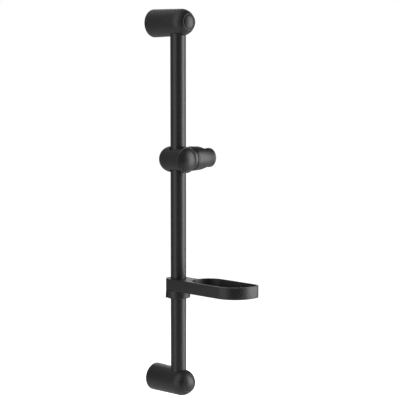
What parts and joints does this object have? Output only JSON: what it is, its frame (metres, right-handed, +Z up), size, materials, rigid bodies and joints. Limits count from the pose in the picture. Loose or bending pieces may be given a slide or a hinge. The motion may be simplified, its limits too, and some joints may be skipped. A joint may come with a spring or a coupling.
{
  "type": "shower slide rail",
  "caption": "Matte black shower slide rail: round tube on domed wall brackets, a sliding handset holder with a release button, and an oval soap dish.",
  "frame": {"origin": "on the wall plane, midway between the two bracket screw holes", "axes": "+Z up along the rail, +Y into the wall, so the front faces -Y; the handset holder stands out along +X"},
  "size_m": [0.0951, 0.1995, 0.6252],
  "materials": {
    "rail_coating": "matte black powder coat",
    "black_plastic": "matte black moulded ABS",
    "guide_plastic": "black acetal",
    "rubber": "black rubber",
    "steel": "zinc plated steel"
  },
  "bodies": {
    "frame": {"rail_tube": "rail_coating", "upper_bracket": "black_plastic", "lower_bracket": "black_plastic", "upper_screw_cap": "black_plastic", "lower_screw_cap": "black_plastic"},
    "slider_carriage": {"upper_guide_bush": "guide_plastic", "lower_guide_bush": "guide_plastic"},
    "slider": {"slider_body": "black_plastic", "friction_ring": "black_plastic", "pivot_screw": "steel", "spring_washer": "steel", "upper_button_spring": "steel", "lower_button_spring": "steel"},
    "button": {"release_button": "black_plastic", "brake_yoke": "guide_plastic", "brake_pad": "rubber"},
    "holder": {"handset_holder": "black_plastic"},
    "dish_carriage": {"dish_bush": "black_plastic", "grip_ring": "rubber"},
    "dish": {"soap_dish": "black_plastic"}
  },
  "joints": [
    {"name": "slider_slide", "type": "slide", "parent": "frame", "child": "slider_carriage", "axis": [0, 0, 1], "range_m": [-0.055, 0.17]},
    {"name": "slider_swivel", "type": "hinge", "parent": "slider_carriage", "child": "slider", "pos_m": [0, -0.055, 0.0723], "axis": [0, 0, 1], "range_deg": [-90, 28]},
    {"name": "button_press", "type": "slide", "parent": "slider", "child": "button", "axis": [0, 1, 0], "range_m": [0, 0.003], "stiffness_N_per_m": 1500, "springref_m": -0.002, "deforming": ["upper_button_spring", "lower_button_spring"]},
    {"name": "holder_tilt", "type": "hinge", "parent": "slider", "child": "holder", "pos_m": [0.03, -0.055, 0.0723], "axis": [1, 0, 0], "range_deg": [-45, 45]},
    {"name": "dish_slide", "type": "slide", "parent": "frame", "child": "dish_carriage", "axis": [0, 0, 1], "range_m": [-0.11, 0.105]},
    {"name": "dish_swivel", "type": "hinge", "parent": "dish_carriage", "child": "dish", "pos_m": [0, -0.055, -0.12925], "axis": [0, 0, 1], "range_deg": [-60, 60]}
  ]
}
